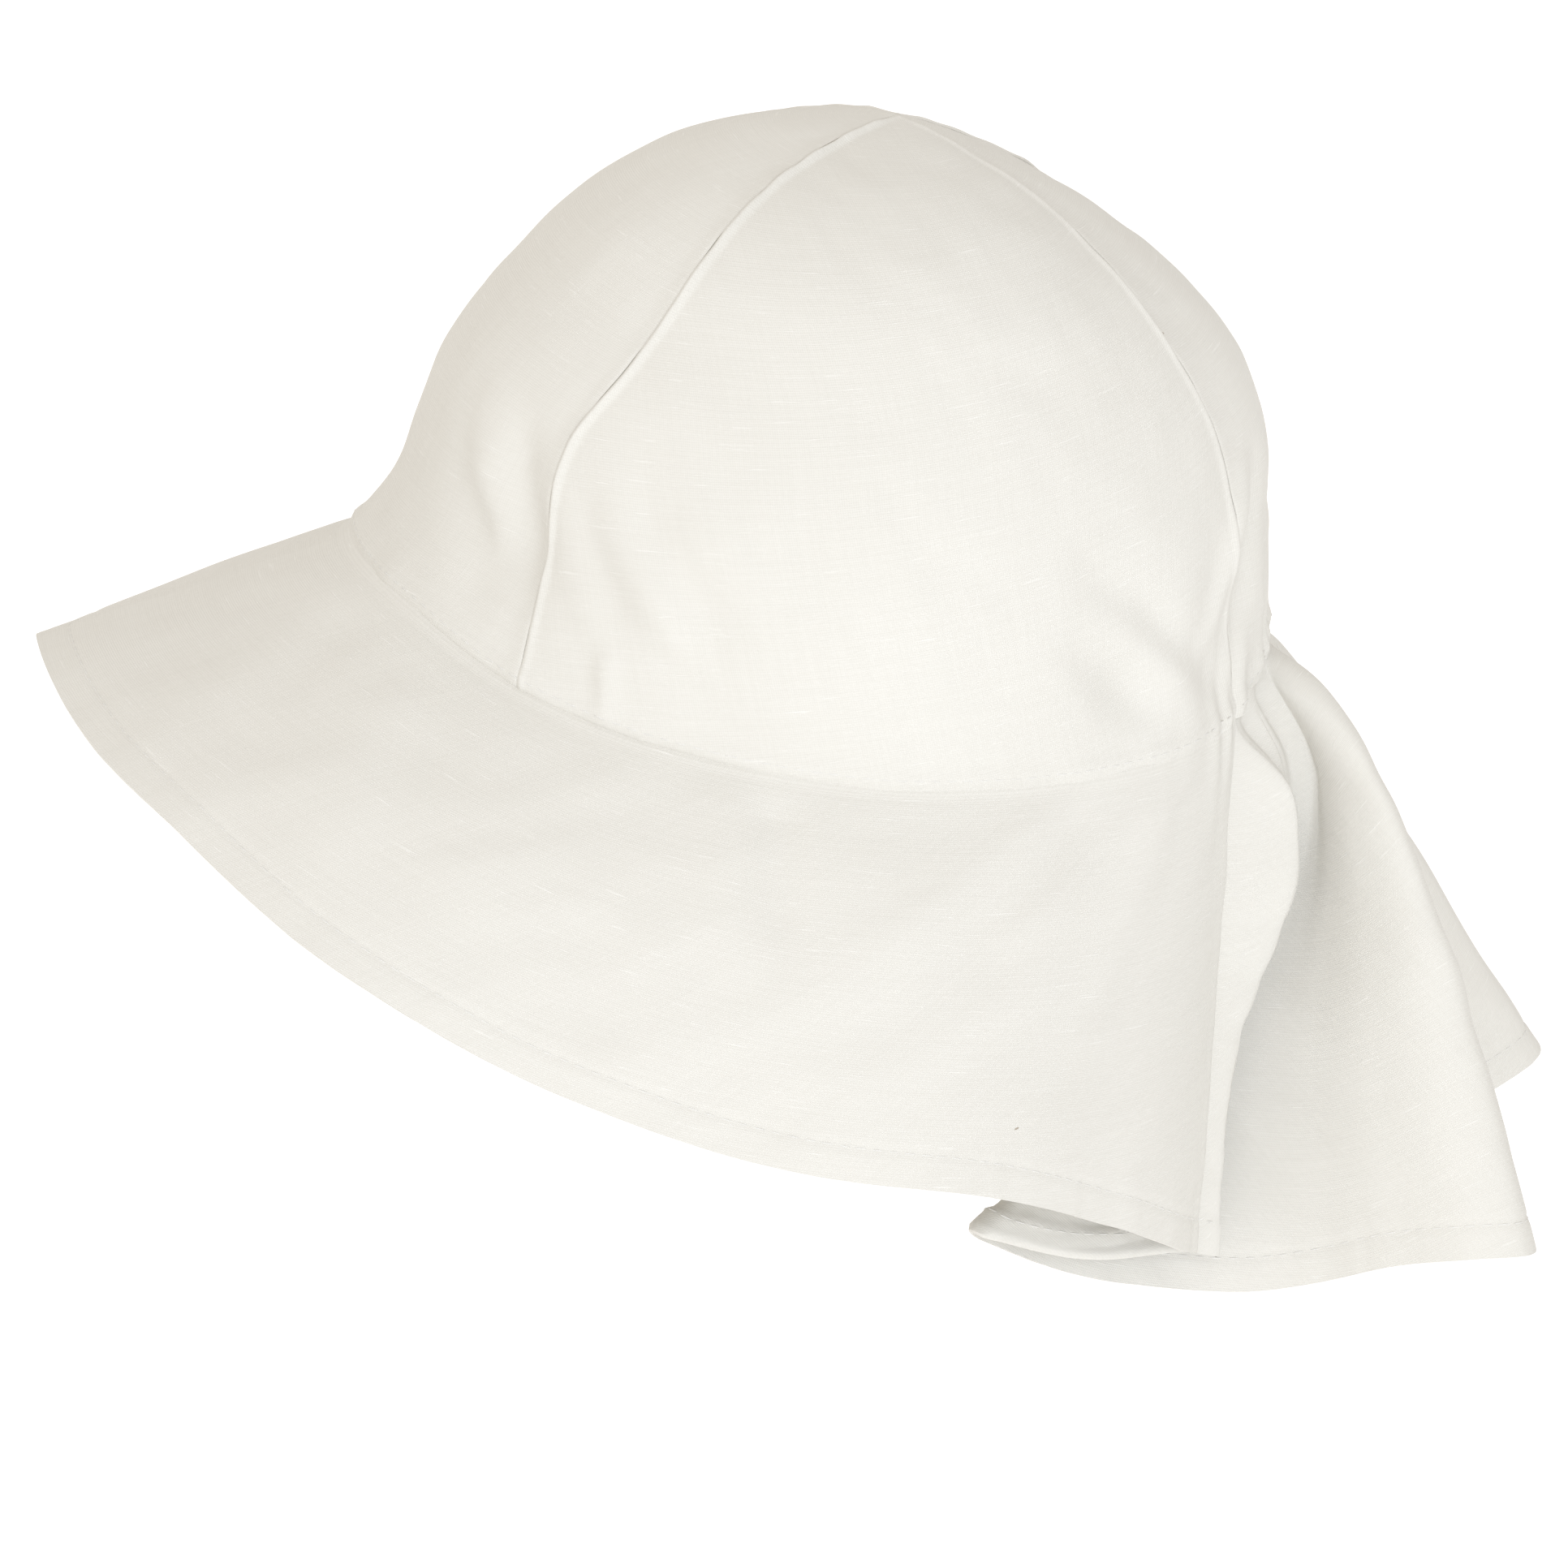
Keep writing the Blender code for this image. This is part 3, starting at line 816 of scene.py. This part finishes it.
def flap_hem_rows():
    """The hem from the left seam to the right: (share of its length, forward, side, up, opening, pouch)."""
    seam_forward, seam_side, seam_up = brim_place(np.array(float(FLAP_SEAM_AZIMUTH)), np.array(1.0))
    near = [(float(seam_forward) + FLAP_TUCK, float(seam_side) - FLAP_TUCK, float(seam_up), 1, 0)]
    for back, side, drop, opening, pouch in FLAP_ROWS:
        forward = -HEAD_HALF_LENGTH - back * FLAP_LENGTH
        near.append((forward, side * FLAP_LENGTH, -drop * FLAP_LENGTH, opening, pouch))
    far = []
    for forward, side, up, opening, pouch in reversed(near[:-1]):
        back = -HEAD_HALF_LENGTH - forward
        crest = float(bump(back - FAR_CREST_PLACE, FAR_CREST_SPREAD)) * min(side / FAR_CREST_SIDE, 1)
        opening += FAR_CREST_LATE * crest
        far.append((forward - FAR_CREST_BACK * crest, -side, up + FAR_CREST_LIFT * crest, opening, pouch))
    rows = near + far
    lengths = [0]
    for one, two in zip(rows, rows[1:]):
        lengths.append(lengths[-1] + math.dist(one[:3], two[:3]))
    return [(length / lengths[-1],) + row for length, row in zip(lengths, rows)]


FLAP_HEM = flap_hem_rows()


def flap_place(across, down):
    """The flap's surface, as (forward, side, up), from its left seam to its right and from nape to hem."""
    forward, side, up = ring_place(FLAP_SEAM_AZIMUTH + (360 - 2 * FLAP_SEAM_AZIMUTH) * across)
    hem_forward, hem_side, hem_up = [read_rows(FLAP_HEM, column, across) for column in (1, 2, 3)]
    share = down ** read_rows(FLAP_HEM, 4, across)
    pouch = read_rows(FLAP_HEM, 5, across) * POUCH_DEPTH * bump(down - POUCH_CENTRE, POUCH_SPREAD)
    pouch = pouch * (1 - bump(down, POUCH_START))
    gather = GATHER_DEPTH * np.cos(math.tau * GATHER_COUNT * across) * np.exp(-down / GATHER_FADE)
    gather = gather * np.minimum(np.minimum(across, 1 - across) * GATHER_COUNT * 2, 1)
    gather = gather * (1 - bump(down, GATHER_START))
    forward = forward + (hem_forward - forward) * share - pouch - gather
    side = side + (hem_side - side) * share
    return forward, side, up + (hem_up - up) * down


def join_to_brim(points, from_seam, column, brim_column):
    """The flap's cloth beside one of its seams, moved so that its edge lies just under the brim's."""
    own = run(points, 0)[:, column]
    brim_run = run(brim_points, 0)[:, brim_column]
    edge = brim_points[:, brim_column]
    inner_column = 4 if brim_column == 0 else -5
    past = brim_points[:, inner_column] - edge
    past = past / np.linalg.norm(past, axis=-1, keepdims=True)
    edge = edge + past * SEAM_OVERLAP - outward(brim_points)[:, brim_column] * SEAM_STEP
    share = own / own[-1] * brim_run[-1]
    target = np.stack([np.interp(share, brim_run, edge[:, axis]) for axis in range(3)], axis=-1)
    shift = target - points[:, column]
    return points + bump(from_seam, SEAM_REACH)[..., None] * shift[:, None, :]


flap_across = crowded(440, 0.12)[None, :]
flap_down = crowded(100, 0.5)[:, None]
flap_across, flap_down = np.broadcast_arrays(flap_across, flap_down)
flap_points = in_world(flap_place(flap_across, flap_down))
flap_from_top = run(flap_points, 0)
flap_above_hem = flap_from_top[-1:, :] - flap_from_top
flap_from_seam = run(flap_points, 1)
flap_to_seam = flap_from_seam[:, -1:] - flap_from_seam
flap_grain = np.stack([(flap_from_seam - flap_to_seam) / 2, flap_from_top], axis=-1)
flap_along = np.broadcast_to(flap_from_seam[-1:, :], flap_from_seam.shape)
flap_lift = FLAP_CRUMPLE * crumple(flap_grain[..., 0], flap_grain[..., 1], 31, *FLAP_CRUMPLE_LENGTHS)
flap_lift *= np.minimum(flap_from_top / FLAP_CALM, 1)
flap_lift += hem_relief(flap_above_hem, flap_along, 32)
flap_lift -= FLAP_TOP_ROLL * bump(flap_from_top, FLAP_TOP_ROLL_WIDTH)
flap_points = flap_points + tuck_under(flap_points, flap_from_top)
flap_points = flap_points + outward(flap_points) * flap_lift[..., None]
flap_points = join_to_brim(flap_points, flap_from_seam, 0, -1)
flap_points = join_to_brim(flap_points, flap_to_seam, -1, 0)
flap = sewn_cloth("neck_flap_cloth", flap_points, flap_grain + 5, hem_wall(flap_above_hem))
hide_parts("neck_flap")
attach(flap, "root")


# The stitches: matt off-white thread in plain lockstitch. One row holds down the turnings above the crown's
# edge, and one holds each hem, on both faces. Each stitch is a short rounded bar, half sunk in the cloth.
THREAD = 0.30 * MM
THREAD_TWIST = 2500
THREAD_SHADE = 0.86
STITCH_SUNK = 0.04 * MM
HEM_STITCH_BELOW = 0.2 * MM
INNER_STITCH_BELOW = 0.9 * MM
INNER_STITCH_LIFT = 0.02 * MM
TOPSTITCH_ABOVE = 2.2 * MM
STITCH_PITCH = 3.1 * MM
STITCH_LENGTH = 2.3 * MM
THREAD_COLOUR = (0.70, 0.685, 0.645, 1)

thread = bpy.data.materials.new("hem_thread")
thread.use_nodes = True
thread_shader = thread.node_tree.nodes["Principled BSDF"]
thread_shader.inputs["Roughness"].default_value = 0.8
thread_shader.inputs["Specular IOR Level"].default_value = 0.25
thread_place = thread.node_tree.nodes.new("ShaderNodeTexCoord")
thread_twist = thread.node_tree.nodes.new("ShaderNodeTexNoise")
thread_twist.inputs["Scale"].default_value = THREAD_TWIST
thread_tint = thread.node_tree.nodes.new("ShaderNodeMix")
thread_tint.data_type = "RGBA"
thread_tint.inputs["A"].default_value = tuple(THREAD_SHADE * value for value in THREAD_COLOUR[:3]) + (1,)
thread_tint.inputs["B"].default_value = THREAD_COLOUR
thread_links = thread.node_tree.links
thread_links.new(thread_place.outputs["Object"], thread_twist.inputs["Vector"])
thread_links.new(thread_twist.outputs["Fac"], thread_tint.inputs["Factor"])
thread_links.new(thread_tint.outputs["Result"], thread_shader.inputs["Base Color"])


def stitch_tree():
    """Geometry nodes that lay one stitch at every pitch along a line of points."""
    tree = bpy.data.node_groups.new("stitches", "GeometryNodeTree")
    face = tree.interface
    face.new_socket(name="Geometry", in_out="INPUT", socket_type="NodeSocketGeometry")
    for label, value in (("Pitch", STITCH_PITCH), ("Length", STITCH_LENGTH), ("Thread", THREAD)):
        socket = face.new_socket(name=label, in_out="INPUT", socket_type="NodeSocketFloat")
        socket.default_value = value
    face.new_socket(name="Material", in_out="INPUT", socket_type="NodeSocketMaterial")
    face.new_socket(name="Geometry", in_out="OUTPUT", socket_type="NodeSocketGeometry")
    nodes = tree.nodes
    links = tree.links
    given = nodes.new("NodeGroupInput")
    result = nodes.new("NodeGroupOutput")
    line = nodes.new("GeometryNodeMeshToCurve")
    spaced = nodes.new("GeometryNodeResampleCurve")
    spaced.mode = "LENGTH"
    tangent = nodes.new("GeometryNodeInputTangent")
    turned = nodes.new("FunctionNodeAlignRotationToVector")
    turned.axis = "Z"
    bar = nodes.new("GeometryNodeMeshUVSphere")
    bar.inputs["Segments"].default_value = 8
    bar.inputs["Rings"].default_value = 6
    bar.inputs["Radius"].default_value = 0.5
    size = nodes.new("ShaderNodeCombineXYZ")
    placed = nodes.new("GeometryNodeInstanceOnPoints")
    smooth = nodes.new("GeometryNodeSetShadeSmooth")
    real = nodes.new("GeometryNodeRealizeInstances")
    coloured = nodes.new("GeometryNodeSetMaterial")
    links.new(given.outputs["Geometry"], line.inputs["Mesh"])
    links.new(line.outputs["Curve"], spaced.inputs["Curve"])
    links.new(given.outputs["Pitch"], spaced.inputs["Length"])
    links.new(spaced.outputs["Curve"], placed.inputs["Points"])
    links.new(tangent.outputs["Tangent"], turned.inputs["Vector"])
    links.new(turned.outputs["Rotation"], placed.inputs["Rotation"])
    links.new(bar.outputs["Mesh"], placed.inputs["Instance"])
    links.new(given.outputs["Thread"], size.inputs["X"])
    links.new(given.outputs["Thread"], size.inputs["Y"])
    links.new(given.outputs["Length"], size.inputs["Z"])
    links.new(size.outputs["Vector"], placed.inputs["Scale"])
    links.new(placed.outputs["Instances"], smooth.inputs["Geometry"])
    links.new(smooth.outputs["Geometry"], real.inputs["Geometry"])
    links.new(real.outputs["Geometry"], coloured.inputs["Geometry"])
    links.new(given.outputs["Material"], coloured.inputs["Material"])
    links.new(coloured.outputs["Geometry"], result.inputs["Geometry"])
    return tree


stitches = stitch_tree()


def line_on_cloth(points, from_edge, depth, lift):
    """A line at one depth from an edge of the cloth, lifted off its outer face."""
    normal = outward(points)
    line = []
    for column in range(points.shape[1]):
        order = np.argsort(from_edge[:, column])
        away = from_edge[order, column]
        place = [np.interp(depth, away, points[order, column, axis]) for axis in range(3)]
        way = [np.interp(depth, away, normal[order, column, axis]) for axis in range(3)]
        line.append(np.array(place) + np.array(way) * lift)
    return np.array(line)


def stitch_row(name, lines):
    """One mesh of stitches along a few lines of points."""
    vertices = np.concatenate(lines)
    edges = []
    start = 0
    for line in lines:
        edges += [(start + number, start + number + 1) for number in range(len(line) - 1)]
        start += len(line)
    mesh = bpy.data.meshes.new(name + "_line")
    mesh.from_pydata(vertices.tolist(), edges, [])
    guide = bpy.data.objects.new(name + "_line", mesh)
    bpy.context.scene.collection.objects.link(guide)
    modifier = guide.modifiers.new("stitches", "NODES")
    modifier.node_group = stitches
    for item in stitches.interface.items_tree:
        if item.item_type == "SOCKET" and item.in_out == "INPUT" and item.name == "Material":
            modifier[item.identifier] = thread
    bpy.context.view_layer.update()
    graph = bpy.context.evaluated_depsgraph_get()
    made = bpy.data.meshes.new_from_object(guide.evaluated_get(graph))
    bpy.data.objects.remove(guide)
    made.name = name
    piece = bpy.data.objects.new(name, made)
    bpy.context.scene.collection.objects.link(piece)
    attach(piece, "root")
    return piece


crown_lines = []
for name in ("crown_front", "crown_left", "crown_back", "crown_right"):
    gore_points, above_ring = crown_edges[name]
    crown_lines.append(line_on_cloth(gore_points, above_ring, TOPSTITCH_ABOVE, -STITCH_SUNK))
stitch_row("crown_topstitch", [np.concatenate(crown_lines)])
for name, points, above_hem in (
    ("brim_hem_stitches", brim_points, brim_above_hem),
    ("flap_hem_stitches", flap_points, flap_above_hem),
):
    outside = line_on_cloth(points, above_hem, HEM_DEPTH - HEM_STITCH_BELOW, -STITCH_SUNK)
    depth = CLOTH + HEM_EXTRA + INNER_STITCH_LIFT
    inside = line_on_cloth(points, above_hem, HEM_DEPTH - INNER_STITCH_BELOW, -depth)
    stitch_row(name, [outside, inside])
